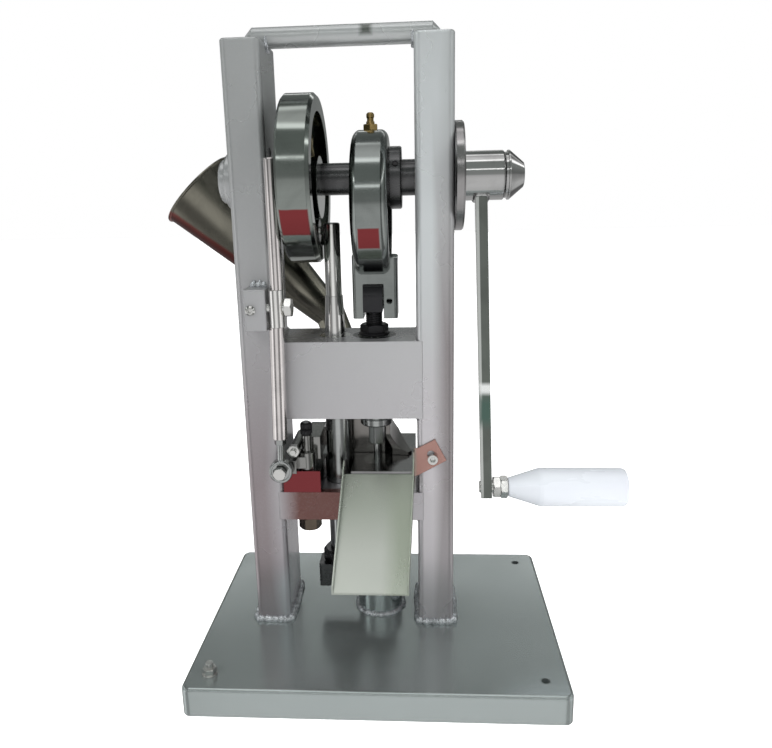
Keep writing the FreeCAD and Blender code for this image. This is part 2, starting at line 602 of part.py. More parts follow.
# ---- feeder: swings about the stud on the die table ----
stud = rod_along_z(feeder_x, feeder_y, 111.0, 206.0, stud_r)
stud_nut = hexagon(vec(feeder_x, feeder_y, 110.5), vec(0, 0, 1), 17.0, 10.5, 12.0)
stud_nut = stud_nut.cut(rod_along_z(feeder_x, feeder_y, 105.0, 125.0, stud_r))
save("feeder_stud", stud)
save("feeder_stud_nut", stud_nut)
knob = turned_along_z([(stud_r, 195.0), (4.4, 195.0), (4.8, 196.0), (4.8, 198.6), (4.2, 199.2),
                       (4.2, 200.4),
                       (4.8, 201.0), (4.8, 204.4), (4.2, 205.2), (stud_r, 205.2)], feeder_x, feeder_y)
save("feeder_knurled_nut", knob)

# a low hub with a slim neck on the stud, a web back to the shoe, a lever to the rod end
shoe_low = table_top + 0.3
hub_top = 180.0
neck_top = 194.4
swivel = rod_along_z(feeder_x, feeder_y, shoe_low, hub_top, 7.5)
swivel = swivel.fuse(rod_along_z(feeder_x, feeder_y, hub_top - 1, neck_top, 4.3))
web = block(-61.0, -48.4, -1.0, 40.0, 170.5, 190.5)
lever = block(-72.5, feeder_x, -14.0, -4.0, 167.0, 177.0)
lever = lever.fuse(block(-72.5, -66.0, -22.4, -6.0, 167.0, 177.0))
lever = lever.fuse(block(-83.0, -66.0, -22.4, -18.8, 165.8, 176.6))
swivel = swivel.fuse([web, lever])
swivel = swivel.cut(rod_along_z(feeder_x, feeder_y, 160.0, 200.0, stud_r + running_gap))
swivel = swivel.cut(rod_along_y(eye_x, -25.0, -18.0, eye_z, 3.0))
stop_x = -68.3
stop_z = 184.4
swivel = swivel.fuse(rod_along_y(stop_x, -15.0, 24.0, stop_z, 4.3))
swivel = swivel.fuse(block(stop_x, -60.0, 8.0, 22.0, 181.0, 187.0))
swivel = swivel.cut(rod_along_y(stop_x, -17.0, 25.0, stop_z, 2.5)).removeSplitter()
save("feeder_swivel", swivel)
stop = rod_along_y(stop_x, -23.6, 24.0, stop_z, 2.5)
stop_nut = hexagon(vec(stop_x, -20.4, stop_z), vec(0, 1, 0), 9.6, 5.2, 4.0)
stop_nut = stop_nut.cut(rod_along_y(stop_x, -30.0, 0.0, stop_z, 2.5))
save("feeder_stop_screw", stop, stop_nut)

shoe_back = 79.0
shoe_left = -43.0
shoe_top = 196.4
shoulder_z = 182.0
plan = [vec(shoe_left, 31.0, 0), vec(-27.0, 29.5, 0), vec(5.0, 29.5, 0), vec(12.0, 23.0, 0),
        vec(26.0, 22.0, 0),
        vec(29.0, 29.0, 0), vec(16.0, shoe_back - 8, 0), vec(6.0, shoe_back, 0), vec(-30.0, shoe_back, 0),
        vec(shoe_left, shoe_back - 10, 0)]
plan.append(plan[0])
# side outline: low left end, tall middle that takes the spout, and a hollow-curved nose on the right
outline = Part.makePolygon([vec(10.0, 0, shoulder_z), vec(10.0, 0, shoe_top), vec(-31.0, 0, shoe_top),
                            vec(-31.0, 0, 185.6), vec(shoe_left - 1, 0, 185.6),
                            vec(shoe_left - 1, 0, shoe_low),
                            vec(30.0, 0, shoe_low), vec(30.0, 0, shoe_low + 1.4)])
nose_curve = Part.Arc(vec(30.0, 0, shoe_low + 1.4), vec(18.4, 0, 172.0), vec(10.0, 0, shoulder_z)).toShape()
side_body = Part.Face(Part.Wire(outline.Edges + [nose_curve])).extrude(vec(0, 90, 0))
shoe = Part.Face(Part.makePolygon(plan)).extrude(vec(0, 0, 40))
shoe.translate(vec(0, 0, shoe_low))
shoe = shoe.common(side_body)
# the nose face leans back from its lower edge to the shoulder
lean = Part.Face(Part.makePolygon([vec(6.0, 20.0, shoe_low + 1.5), vec(6.0, 29.5, shoulder_z),
                                   vec(6.0, 29.5, 200.0),
                                   vec(6.0, 10.0, 200.0), vec(6.0, 10.0, shoe_low + 1.5),
                                   vec(6.0, 20.0, shoe_low + 1.5)])).extrude(vec(30, 0, 0))
shoe = shoe.cut(lean)
inner_plan = [vec(-27.5, 33.0, 0), vec(6.0, 33.0, 0), vec(6.0, shoe_back - 8, 0),
              vec(2.0, shoe_back - 4, 0),
              vec(-27.5, shoe_back - 4, 0)]
inner_plan.append(inner_plan[0])
hollow = Part.Face(Part.makePolygon(inner_plan)).extrude(vec(0, 0, 193.0 - shoe_low + 1))
hollow.translate(vec(0, 0, shoe_low - 1))
shoe = shoe.cut(hollow)
spout_axis_top = vec(-46.0, 83.0, 281.0)
spout_foot = vec(-10.0, 60.0, 189.0)
spout_dir = (spout_axis_top - spout_foot).normalize()
spout_r = 14.0
spout_wall = 1.5
shoe = shoe.cut(rod_between(spout_foot - spout_dir * 4, spout_foot + spout_dir * 40, spout_r))
shoe = shoe.fuse(block(-48.4, shoe_left + 3, 33.0, 40.0, 171.0, 185.6)).removeSplitter()
save("feed_shoe", shoe)

hopper_foot = spout_axis_top
hopper_dir = vec(-0.703, 0.0, 0.711).normalize()
spout = rod_between(spout_foot, spout_axis_top, spout_r)
spout_bore = rod_between(spout_foot - spout_dir, spout_axis_top, spout_r - spout_wall)
cone_length = 164.0
mouth_r = 38.0
cone_outer = Part.makeCone(spout_r, mouth_r, cone_length, hopper_foot, hopper_dir)
cone_inner = Part.makeCone(spout_r - spout_wall, mouth_r - spout_wall, cone_length, hopper_foot, hopper_dir)
elbow = Part.makeSphere(spout_r, hopper_foot)
elbow_bore = Part.makeSphere(spout_r - spout_wall, hopper_foot)
beyond = Part.makeCylinder(60, 5, hopper_foot + hopper_dir * cone_length, hopper_dir)
hopper = spout.fuse([elbow, cone_outer])
hopper = hopper.cut(spout_bore.fuse([elbow_bore, cone_inner]))
rim_centre = hopper_foot + hopper_dir * (cone_length - 1.0)
rim = Part.makeTorus(mouth_r, 1.3, rim_centre, hopper_dir)
rim = rim.cut(cone_inner)
hopper = hopper.fuse(rim).cut(beyond).removeSplitter()
save("hopper", hopper)

# ---- base bolt standing in the front left hole ----
bolt_washer = rod_along_z(-hole_x, -hole_y, base_t, base_t + 1.2, 6.0)
bolt_nut = hexagon(vec(-hole_x, -hole_y, base_t + 1.2), vec(0, 0, 1), 9.6, 5.0, 10.4)
bolt_stud = rod_along_z(-hole_x, -hole_y, 4.0, base_t + 10.5, 3.0)
bolt_hole = rod_along_z(-hole_x, -hole_y, 0, 60, 3.0)
save("base_bolt", bolt_stud)
save("base_bolt_nut", bolt_washer.cut(bolt_hole), bolt_nut.cut(bolt_hole))
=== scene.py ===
"""Looks of the hand-cranked single-punch tablet press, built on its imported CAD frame."""

import json
import math

import bmesh
import bpy
from mathutils import Matrix, Vector


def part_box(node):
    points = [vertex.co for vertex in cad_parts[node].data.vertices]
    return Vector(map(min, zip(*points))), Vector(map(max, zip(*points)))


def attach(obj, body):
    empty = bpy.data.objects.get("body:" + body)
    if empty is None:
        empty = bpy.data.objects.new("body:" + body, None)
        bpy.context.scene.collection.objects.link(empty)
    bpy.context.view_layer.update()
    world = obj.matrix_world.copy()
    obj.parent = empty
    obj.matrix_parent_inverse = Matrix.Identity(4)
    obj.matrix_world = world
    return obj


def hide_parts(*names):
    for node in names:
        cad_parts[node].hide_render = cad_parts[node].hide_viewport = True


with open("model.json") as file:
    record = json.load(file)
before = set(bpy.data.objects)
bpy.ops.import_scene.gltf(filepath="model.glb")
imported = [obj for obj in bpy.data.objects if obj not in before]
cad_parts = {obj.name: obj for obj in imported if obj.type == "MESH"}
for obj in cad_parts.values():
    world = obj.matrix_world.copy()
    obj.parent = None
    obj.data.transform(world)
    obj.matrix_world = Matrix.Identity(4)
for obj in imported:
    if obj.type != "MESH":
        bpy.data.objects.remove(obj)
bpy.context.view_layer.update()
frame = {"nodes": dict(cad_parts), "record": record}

MM = 0.001


# ---- node helpers ----------------------------------------------------------------------------
class Nodes:
    """A material's node tree, with short calls to add and join nodes."""

    def __init__(self, name):
        self.material = bpy.data.materials.new(name)
        self.material.use_nodes = True
        self.tree = self.material.node_tree
        self.tree.nodes.clear()
        self.place = self.add("ShaderNodeTexCoord").outputs["Object"]

    def add(self, kind, **inputs):
        node = self.tree.nodes.new(kind)
        for key, value in inputs.items():
            socket = node.inputs[key.replace("_", " ")]
            self.feed(socket, value)
        return node

    def feed(self, socket, value):
        if isinstance(value, bpy.types.NodeSocket):
            self.tree.links.new(value, socket)
        else:
            socket.default_value = value

    def stretched(self, scale):
        """Object coordinates with a scale per axis, for grain that runs one way."""
        mapping = self.add("ShaderNodeMapping", Vector=self.place)
        mapping.inputs["Scale"].default_value = scale
        return mapping.outputs["Vector"]

    def noise(self, scale, detail=3.0, rough=0.5, vector=None, distortion=0.0):
        node = self.add("ShaderNodeTexNoise", Vector=vector or self.place, Scale=scale, Detail=detail,
                        Roughness=rough, Distortion=distortion)
        return node.outputs["Fac"]

    def spread(self, value, low, high, start=0.3, end=0.7):
        """Maps start..end of a value to low..high."""
        node = self.add("ShaderNodeMapRange", Value=value)
        node.inputs["From Min"].default_value = start
        node.inputs["From Max"].default_value = end
        node.inputs["To Min"].default_value = low
        node.inputs["To Max"].default_value = high
        return node.outputs["Result"]

    def math(self, operation, a, b):
        node = self.add("ShaderNodeMath")
        node.operation = operation
        self.feed(node.inputs[0], a)
        self.feed(node.inputs[1], b)
        return node.outputs["Value"]

    def blend(self, factor, a, b):
        """Mixes two colours, each an RGB value or a socket."""
        node = self.add("ShaderNodeMix")
        node.data_type = "RGBA"
        node.blend_type = "MIX"
        self.feed(node.inputs["Factor"], factor)
        self.feed(node.inputs[6], a if isinstance(a, bpy.types.NodeSocket) else (*a, 1.0))
        self.feed(node.inputs[7], b if isinstance(b, bpy.types.NodeSocket) else (*b, 1.0))
        return node.outputs[2]

    def inside_box(self, centre, half, waver, soft=0.06, turn=0.0):
        """1 inside a box given in mm and turned about Y, 0 outside, with an edge that wavers a little."""
        mapping = self.add("ShaderNodeMapping", Vector=self.place)
        mapping.vector_type = "TEXTURE"
        mapping.inputs["Location"].default_value = [c * MM for c in centre]
        mapping.inputs["Rotation"].default_value = (0, math.radians(turn), 0)
        mapping.inputs["Scale"].default_value = [h * MM for h in half]
        size = self.add("ShaderNodeVectorMath", Vector=mapping.outputs["Vector"])
        size.operation = "ABSOLUTE"
        parts = self.add("ShaderNodeSeparateXYZ", Vector=size.outputs["Vector"])
        widest = self.math("MAXIMUM", self.math("MAXIMUM", parts.outputs["X"], parts.outputs["Y"]),
                           parts.outputs["Z"])
        edge = self.math("ADD", widest, self.spread(waver, -0.04, 0.04))
        return self.spread(edge, 1.0, 0.0, 1.0 - soft, 1.0 + soft)

    def bump(self, height, strength, distance, normal=None):
        node = self.add("ShaderNodeBump", Height=height, Strength=strength, Distance=distance)
        if normal is not None:
            self.feed(node.inputs["Normal"], normal)
        return node.outputs["Normal"]

    def edge_rounding(self, radius):
        return self.add("ShaderNodeBevel", Radius=radius).outputs["Normal"]

    def surface(self, **inputs):
        shader = self.add("ShaderNodeBsdfPrincipled", **inputs)
        output = self.add("ShaderNodeOutputMaterial")
        self.tree.links.new(shader.outputs["BSDF"], output.inputs["Surface"])
        return self.material


# ---- materials -------------------------------------------------------------------------------
def frame_paint(name, tint_low, tint_high, rough, metallic, shade=0.25, rounding=0.0012, patches=()):
    """Silver-grey metallic paint over ground steel: orange peel, faint clouding and a few rubbed spots.

    The photo's uneven light is painted in: warmer low down, cooler high up and darker on the left by
    shade. patches add tinted areas that imitate reflections; they are listed below.
    """
    n = Nodes(name)
    clouds = n.noise(9.0, 4.0, 0.55)
    flake = n.noise(900.0, 1.0, 0.5)
    apart = n.add("ShaderNodeSeparateXYZ", Vector=n.place)
    tone = n.blend(n.spread(apart.outputs["Z"], 0.0, 1.0, 0.10, 0.42), tint_low, tint_high)
    tone = n.blend(n.spread(clouds, 0.0, 0.35, 0.40, 0.75), tone, tuple(c * 1.2 for c in tint_high))
    shaded = tuple(c * 0.4 for c in tint_low)
    tone = n.blend(n.spread(apart.outputs["X"], shade, 0.0, -0.10, 0.03), tone, shaded)
    for centre, half, tint, *edge in patches:
        tone = n.blend(n.inside_box(centre, half, clouds, *edge), tone, tint)
    tone = n.blend(n.spread(flake, 0.0, 0.05, 0.45, 0.75), tone, (0.58, 0.59, 0.59))
    scuff = n.spread(n.noise(120.0, 5.0, 0.7, n.stretched((1, 1, 0.25))), 0.0, 1.0, 0.68, 0.76)
    tone = n.blend(n.math("MULTIPLY", scuff, 0.30), tone, (0.14, 0.14, 0.14))
    roughness = n.spread(clouds, rough - 0.04, rough + 0.05)
    peel = n.noise(420.0, 2.0, 0.5)
    normal = n.bump(peel, 0.04, 0.00025, n.edge_rounding(rounding))
    return n.surface(Base_Color=tone, Metallic=metallic, Roughness=roughness, Normal=normal)


def ground_steel(name, tone, rough, scale, bump=0.1, metallic=1.0, stain=0.3, grain=90.0, lines_tint=0.25,
                 cloud=28.0, patches=()):
    """Ground and polished steel.

    scale sets the way the grinding lines run and stain is the strength of the oil film. patches add
    tinted areas that imitate reflections; they are listed below.
    """
    n = Nodes(name)
    lines = n.noise(grain, 6.0, 0.7, n.stretched(scale))
    film = n.noise(cloud, 4.0, 0.6, distortion=0.6)
    dark = tuple(c * 0.55 for c in tone)
    light = tuple(min(1.0, c * 1.25) for c in tone)
    colour = n.blend(n.spread(film, 0.0, stain, 0.45, 0.7), tone, dark)
    colour = n.blend(n.spread(lines, 0.0, lines_tint, 0.5, 0.75), colour, light)
    for centre, half, tint, *edge in patches:
        colour = n.blend(n.inside_box(centre, half, film, *edge), colour, tint)
    oil_rough = n.spread(film, 0.0, 0.06, 0.5, 0.75)
    roughness = n.math("ADD", n.spread(lines, rough * 0.8, rough * 1.25), oil_rough)
    normal = n.bump(lines, bump, 0.0001, n.edge_rounding(0.0007))
    return n.surface(Base_Color=colour, Metallic=metallic, Roughness=roughness, Normal=normal)


def polished_bar(name, tone, rough, stain):
    """Bright drawn bar that stands upright, with hardly any grinding lines."""
    return ground_steel(name, tone, rough, (1, 1, 0.1), bump=0.02, stain=stain, lines_tint=0.05)


def plastic():
    """Smooth white moulded grip with faint flow marks."""
    n = Nodes("white_plastic")
    flow = n.noise(60.0, 3.0, 0.5, n.stretched((0.2, 1, 1)))
    tone = n.blend(n.spread(flow, 0.0, 0.5), (0.64, 0.67, 0.71), (0.60, 0.61, 0.67))
    normal = n.bump(flow, 0.05, 0.0002, n.edge_rounding(0.0006))
    return n.surface(Base_Color=tone, Roughness=n.spread(flow, 0.24, 0.32), Normal=normal)


def grease():
    """Yellowish white grease, with lumps."""
    n = Nodes("grease")
    lumps = n.noise(400.0, 4.0, 0.6)
    tone = n.blend(n.spread(lumps, 0.0, 1.0), (0.55, 0.50, 0.33), (0.34, 0.27, 0.14))
    normal = n.bump(lumps, 0.5, 0.0004)
    return n.surface(Base_Color=tone, Roughness=n.spread(lumps, 0.25, 0.45), Normal=normal)


def weld_metal():
    """Bright brushed weld metal, darker in patches."""
    n = Nodes("weld_metal")
    grain = n.noise(900.0, 5.0, 0.7)
    patchy = n.noise(160.0, 3.0, 0.6)
    tone = n.blend(n.spread(patchy, 0.0, 1.0, 0.35, 0.65), (0.42, 0.44, 0.46), (0.74, 0.77, 0.80))
    normal = n.bump(grain, 0.35, 0.0003)
    return n.surface(Base_Color=tone, Metallic=0.8, Roughness=n.spread(grain, 0.16, 0.40), Normal=normal)


# Tinted areas that imitate the photo's coloured reflections and its light and dark bands. They are
# painted on, so they turn with their part and don't answer to the light or the view.
# Each is (centre in mm, half size in mm, colour, softness of the edge, turn about Y in degrees).
RED_TINT = (0.22, 0.042, 0.045)
WHEEL_TINTS = [((-54, -36, 371.0), (10.5, 32, 9.4), RED_TINT, 0.05)]
STRAP_TINTS = [((-0.5, -26, 358), (8.0, 26, 7.6), RED_TINT, 0.06)]
TABLE_TINTS = [((-66, -16, 155), (24, 4, 14), (0.22, 0.045, 0.050), 0.05)]
BAR_TINTS = [((-38, -15, 133), (38, 8, 30), (0.145, 0.068, 0.060), 0.25)]
HOPPER_TINTS = [((-150, 52, 342), (50, 34, 12), (0.25, 0.070, 0.060), 0.12, 37.1)]
FRAME_TINTS = [((-2, 8, 511), (4, 10, 4), (0.10, 0.11, 0.10), 0.5),
               ((45, -15, 420), (14, 14, 120), (0.60, 0.63, 0.64), 0.6),
               ((45, -15, 110), (13, 14, 120), (0.54, 0.52, 0.54), 0.6),
               ((-94, -15, 46), (15, 14, 20), (0.43, 0.46, 0.48), 0.6),
               ((61, -15, 215), (9, 14, 150), (0.26, 0.240, 0.245), 0.6),
               ((-100, -15, 110), (11, 14, 110), (0.27, 0.235, 0.245), 0.6)]
ARM_TINTS = [((85.6, 15, 262), (1.5, 20, 135), (0.55, 0.57, 0.55), 0.15, -1.7),
             ((91.5, 15, 230), (6.0, 20, 4.5), (0.95, 0.97, 0.96), 0.4),
             ((91.5, 15, 211), (5.5, 20, 12), (0.095, 0.155, 0.13), 0.5)]
CHUTE_TINTS = [((4, -26, 160), (60, 30, 30), (0.31, 0.34, 0.295), 0.6),
               ((24, -66, 130), (11, 44, 44), (0.29, 0.325, 0.265), 0.6),
               ((46, -15, 177), (14, 8, 20), (0.40, 0.23, 0.20), 0.15)]

PAINT = {"tint_low": (0.440, 0.415, 0.440), "tint_high": (0.430, 0.447, 0.446), "rough": 0.27,
         "metallic": 0.65}
# the crossbars lie flush with the uprights, so their seams get hardly any rounding
FLUSH = 0.0002
EVEN = (1, 1, 1)
ALONG_X = (0.1, 3, 3)

MATERIALS = {
    "frame_paint": frame_paint("frame_paint", patches=FRAME_TINTS, **PAINT),
    "polished_steel": ground_steel("polished_steel", (0.44, 0.455, 0.45), 0.17, (0.15, 3, 3)),
    "dark_steel": ground_steel("dark_steel", (0.11, 0.11, 0.112), 0.26, (0.3, 2, 2), stain=0.6),
    "black_oxide": ground_steel("black_oxide", (0.022, 0.022, 0.024), 0.30, EVEN, metallic=0.6, stain=0.2),
    "bright_chrome": ground_steel("bright_chrome", (0.48, 0.48, 0.475), 0.10, (0.1, 2, 2), bump=0.04,
                                  stain=0.5),
    "zinc_steel": ground_steel("zinc_steel", (0.72, 0.72, 0.70), 0.20, EVEN, stain=0.35),
    "brass": ground_steel("brass", (0.60, 0.42, 0.17), 0.22, EVEN, stain=0.4),
    "bronze": ground_steel("bronze", (0.26, 0.18, 0.10), 0.35, EVEN, stain=0.5),
    "white_plastic": plastic(),
}
# nodes whose finish differs from the rest of their slot; both nodes of the stainless_sheet slot are
# here, so that slot needs no entry above
LOOKS = {
    "feeder_swivel": ground_steel("swivel_steel", (0.30, 0.30, 0.29), 0.16, EVEN, stain=0.5),
    "feeder_stud_nut": ground_steel("dark_nut", (0.16, 0.13, 0.10), 0.20, EVEN, stain=0.4),
    "upper_crossbeam": frame_paint("beam_paint", rounding=FLUSH, **PAINT),
    "lower_crossbar": frame_paint("bar_paint", rounding=FLUSH, patches=BAR_TINTS, **PAINT),
    "base_plate": frame_paint("base_paint", (0.365, 0.402, 0.398), (0.350, 0.388, 0.384), 0.20, 0.78,
                              shade=0.0),
    "discharge_chute": ground_steel("chute_sheet", (0.40, 0.425, 0.385), 0.24, (1.0, 0.3, 0.3), bump=0.01,
                                    metallic=0.8, stain=0.12, grain=30.0, lines_tint=0.05, cloud=9.0,
                                    patches=CHUTE_TINTS),
    "cam_wheel": ground_steel("wheel_steel", (0.26, 0.283, 0.265), 0.11, ALONG_X, patches=WHEEL_TINTS),
    "eccentric_strap": ground_steel("strap_steel", (0.27, 0.29, 0.28), 0.13, ALONG_X, patches=STRAP_TINTS),
    "die_table": ground_steel("table_steel", (0.30, 0.30, 0.30), 0.16, (0.2, 3, 3), patches=TABLE_TINTS),
    "hopper": ground_steel("hopper_sheet", (0.24, 0.23, 0.19), 0.20, (2.2, 0.4, 2.2), bump=0.05, stain=0.55,
                           grain=30.0, patches=HOPPER_TINTS),
    "crank_arm": ground_steel("arm_chrome", (0.15, 0.165, 0.15), 0.13, (3, 3, 0.08), bump=0.04, stain=0.4,
                              patches=ARM_TINTS),
    "lower_guide_cylinder": ground_steel("guide_steel", (0.60, 0.64, 0.64), 0.10, (3, 3, 0.15), stain=0.5),
    "right_bearing_flange": ground_steel("flange_steel", (0.36, 0.35, 0.35), 0.20, (3, 0.2, 0.2), stain=0.6),
    "feed_shoe": ground_steel("shoe_steel", (0.22, 0.21, 0.20), 0.13, (0.2, 2, 2), stain=0.5),
    "lift_rod": polished_bar("lift_rod_steel", (0.93, 0.93, 0.90), 0.12, 0.35),
    "lift_guide_bush": polished_bar("bush_steel", (0.80, 0.80, 0.78), 0.13, 0.3),
    "rocker_sleeve": polished_bar("sleeve_steel", (0.85, 0.84, 0.82), 0.13, 0.2),
    "rocker_rod": polished_bar("rocker_rod_steel", (0.78, 0.74, 0.73), 0.12, 0.35),
}
WELD = weld_metal()

node_slot = {part["node"]: part["material_slot"] for part in frame["record"]["subparts"]}
for name, node in frame["nodes"].items():
    for slot in node.material_slots:
        slot.material = LOOKS[name] if name in LOOKS else MATERIALS[node_slot[name]]


# ---- mesh helpers: all lengths in mm ----------------------------------------------------------
def millimetres(node):
    """The lowest and highest corner of a CAD node at rest."""
    low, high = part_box(node)
    return [c / MM for c in low], [c / MM for c in high]


def middle_and_radius(node):
    """The axis (x, y) and the radius along X of a CAD node that stands round about Z."""
    low, high = millimetres(node)
    return ((low[0] + high[0]) / 2, (low[1] + high[1]) / 2), (high[0] - low[0]) / 2


def ripple(i, seed):
    """A repeatable uneven beat between -1 and 1."""
    return 0.6 * math.sin(i * 1.31 + seed) + 0.4 * math.sin(i * 2.77 + seed * 1.7)


def around_z(turn):
    """The unit direction at an angle about Z."""
    return Vector((math.cos(turn), math.sin(turn), 0))


def add_mesh(name, bm, material, body, smooth=True):
    """Turns a bmesh into a named piece that rides on a body."""
    bmesh.ops.recalc_face_normals(bm, faces=bm.faces)
    mesh = bpy.data.meshes.new(name)
    bm.to_mesh(mesh)
    bm.free()
    for face in mesh.polygons:
        face.use_smooth = smooth
    mesh.materials.append(material)
    piece = bpy.data.objects.new(name, mesh)
    bpy.context.collection.objects.link(piece)
    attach(piece, body)
    return piece


def sweep(rings, closed):
    """A closed skin through rings of points; open runs get end caps."""
    bm = bmesh.new()
    rows = [[bm.verts.new([c * MM for c in point]) for point in ring] for ring in rings]
    count = len(rows[0])
    steps = len(rows) if closed else len(rows) - 1
    for i in range(steps):
        here, there = rows[i], rows[(i + 1) % len(rows)]
        for k in range(count):
            bm.faces.new((here[k], here[(k + 1) % count], there[(k + 1) % count], there[k]))
    if not closed:
        bm.faces.new(rows[0][::-1])
        bm.faces.new(rows[-1])
    return bm


def corner_run(name, path, leg=4.0, rise=4.5, seed=0.0, closed=True):
    """A rippled weld bead on the frame, lying in a corner; path holds (point, outward, up)."""
    bury = 0.4
    arc_steps = 6
    rings = []
    for i, (point, outward, up) in enumerate(path):
        wave = 1.0 + 0.16 * math.cos(i * math.pi * 0.5) + 0.14 * ripple(i, seed)
        if not closed:
            wave *= min(1.0, 0.25 + 0.4 * min(i, len(path) - 1 - i))
        point, outward, up = Vector(point), Vector(outward), Vector(up)
        ring = [point - outward * bury - up * bury]
        for k in range(arc_steps + 1):
            turn = math.pi / 2 * k / arc_steps
            size = wave * (1.0 + 0.10 * math.sin(2 * turn))
            ring.append(point + outward * (leg * size * math.cos(turn) - bury)
                        + up * (rise * size * math.sin(turn) - bury))
        rings.append(ring)
    return add_mesh(name, sweep(rings, closed), WELD, "frame")


def tube_run(name, points, radius, body, material, closed=False, seed=0.0, uneven=0.22, sides=10):
    """A lumpy round bead along points, tapering at open ends."""
    across = Vector((0.3, 0.2, 0.93))
    rings = []
    count = len(points)
    for i, point in enumerate(points):
        before = Vector(points[(i - 1) % count] if closed or i else points[0])
        after = Vector(points[(i + 1) % count] if closed or i < count - 1 else points[-1])
        ahead = (after - before).normalized()
        side = ahead.cross(across).normalized()
        other = ahead.cross(side)
        size = radius * (1.0 + uneven * ripple(i, seed))
        if not closed:
            size *= min(1.0, 0.3 + 0.25 * min(i, count - 1 - i))
        rings.append([Vector(point) + (side * math.cos(a) + other * math.sin(a)) * size
                      for a in (2 * math.pi * k / sides for k in range(sides))])
    return add_mesh(name, sweep(rings, closed), material, body)


def thread(name, start, length, radius, pitch, body, slot_name, depth=0.35):
    """A screw thread along +Z: a three-sided ridge wound on a plain cylinder; start is its lower end."""
    steps = 20
    inside = radius - 0.15
    half_width = Vector((0, 0, pitch * 0.42))
    rings = []
    for i in range(int(length / pitch * steps) + 1):
        direction = around_z(2 * math.pi * i / steps)
        base = Vector((start[0], start[1], start[2] + pitch * i / steps))
        rings.append([base + direction * inside - half_width,
                      base + direction * (radius + depth),
                      base + direction * inside + half_width])
    return add_mesh(name, sweep(rings, False), MATERIALS[slot_name], body, smooth=False)


# ---- welds, threads and other small work ------------------------------------------------------
UP = (0, 0, 1)
# the space between two points along a weld, in mm
BEAD_STEP = 1.6
# the crank shaft's axis, which runs along X
SHAFT_Y, SHAFT_Z = 15.0, 402.0
FRAME_FRONT = millimetres("left_upright")[0][1]
LEFT_INNER = millimetres("left_upright")[1][0]
RIGHT_INNER = millimetres("right_upright")[0][0]
PLATE_TOP = millimetres("base_plate")[1][2]


def foot_path(node, corner=5.0):
    """Points round the foot of an upright, with the outward and up directions."""
    low, high = millimetres(node)
    x0, x1, y0, y1 = low[0], high[0], low[1], high[1]
    corners = [(x1 - corner, y0 + corner, -90), (x1 - corner, y1 - corner, 0),
               (x0 + corner, y1 - corner, 90), (x0 + corner, y0 + corner, 180)]
    points = []
    for cx, cy, start in corners:
        for k in range(7):
            turn = math.radians(start + 15 * k)
            points.append(((cx + corner * math.cos(turn), cy + corner * math.sin(turn)), turn))
    path = []
    for i, ((x, y), turn) in enumerate(points):
        next_x, next_y = points[(i + 1) % len(points)][0]
        count = max(1, round(math.hypot(next_x - x, next_y - y) / BEAD_STEP))
        for k in range(count):
            place = (x + (next_x - x) * k / count, y + (next_y - y) * k / count, PLATE_TOP)
            path.append((place, around_z(turn), UP))
    return path


def ring_path(centre, radius):
    """Points round a cylinder on the base plate, with the outward and up directions."""
    count = round(2 * math.pi * radius / BEAD_STEP)
    path = []
    for i in range(count):
        outward = around_z(2 * math.pi * i / count)
        place = (centre[0] + radius * outward[0], centre[1] + radius * outward[1], PLATE_TOP)
        path.append((place, outward, UP))
    return path


def make_foot_beads():
    """The beads round both uprights and the lower guide stand for the CAD's smooth foot welds."""
    left_weld = corner_run("left_foot_bead", foot_path("left_upright"), seed=0.4)
    corner_run("right_foot_bead", foot_path("right_upright"), seed=2.1)
    guide_centre, guide_r = middle_and_radius("lower_guide_cylinder")
    corner_run("guide_bead", ring_path(guide_centre, guide_r), leg=3.2, rise=3.0, seed=3.3)
    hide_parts("foot_welds")


def make_threads():
    """The thread of the pressure screw and the thread at the end of the base bolt."""
    ram_x = -1.0
    thread("screw_thread", (ram_x, SHAFT_Y, 279.5), 18.0, 6.7, 1.75, "ram_slide", "black_oxide")
    (bolt_x, bolt_y), _ = middle_and_radius("base_bolt")
    bolt_top = millimetres("base_bolt")[1][2]
    inside_stud = 2.8
    thread_foot = (bolt_x, bolt_y, bolt_top - 4.1)
    thread("bolt_thread", thread_foot, 3.4, inside_stud, 1.0, "frame", "zinc_steel", depth=0.25)


def make_knurl():
    """Straight knurling: fine ribs round the side of the feeder's black knob."""
    count = 26
    low, high = millimetres("feeder_knurled_nut")
    (x, y), radius = middle_and_radius("feeder_knurled_nut")
    inside = radius - 0.2
    half_width = math.pi * radius / count * 0.75
    bm = bmesh.new()
    for i in range(count):
        direction = around_z(2 * math.pi * i / count)
        side = Vector((-direction.y, direction.x, 0)) * half_width
        rows = []
        for level in (low[2] + 1.0, high[2] - 1.0):
            base = Vector((x, y, level))
            rows.append([bm.verts.new((base + direction * inside - side) * MM),
                         bm.verts.new((base + direction * (radius + 0.22)) * MM),
                         bm.verts.new((base + direction * inside + side) * MM)])
        for k in range(3):
            bm.faces.new((rows[0][k], rows[0][(k + 1) % 3], rows[1][(k + 1) % 3], rows[1][k]))
        bm.faces.new(rows[0][::-1])
        bm.faces.new(rows[1])
    add_mesh("knob_knurl", bm, MATERIALS["black_oxide"], "frame", smooth=False)


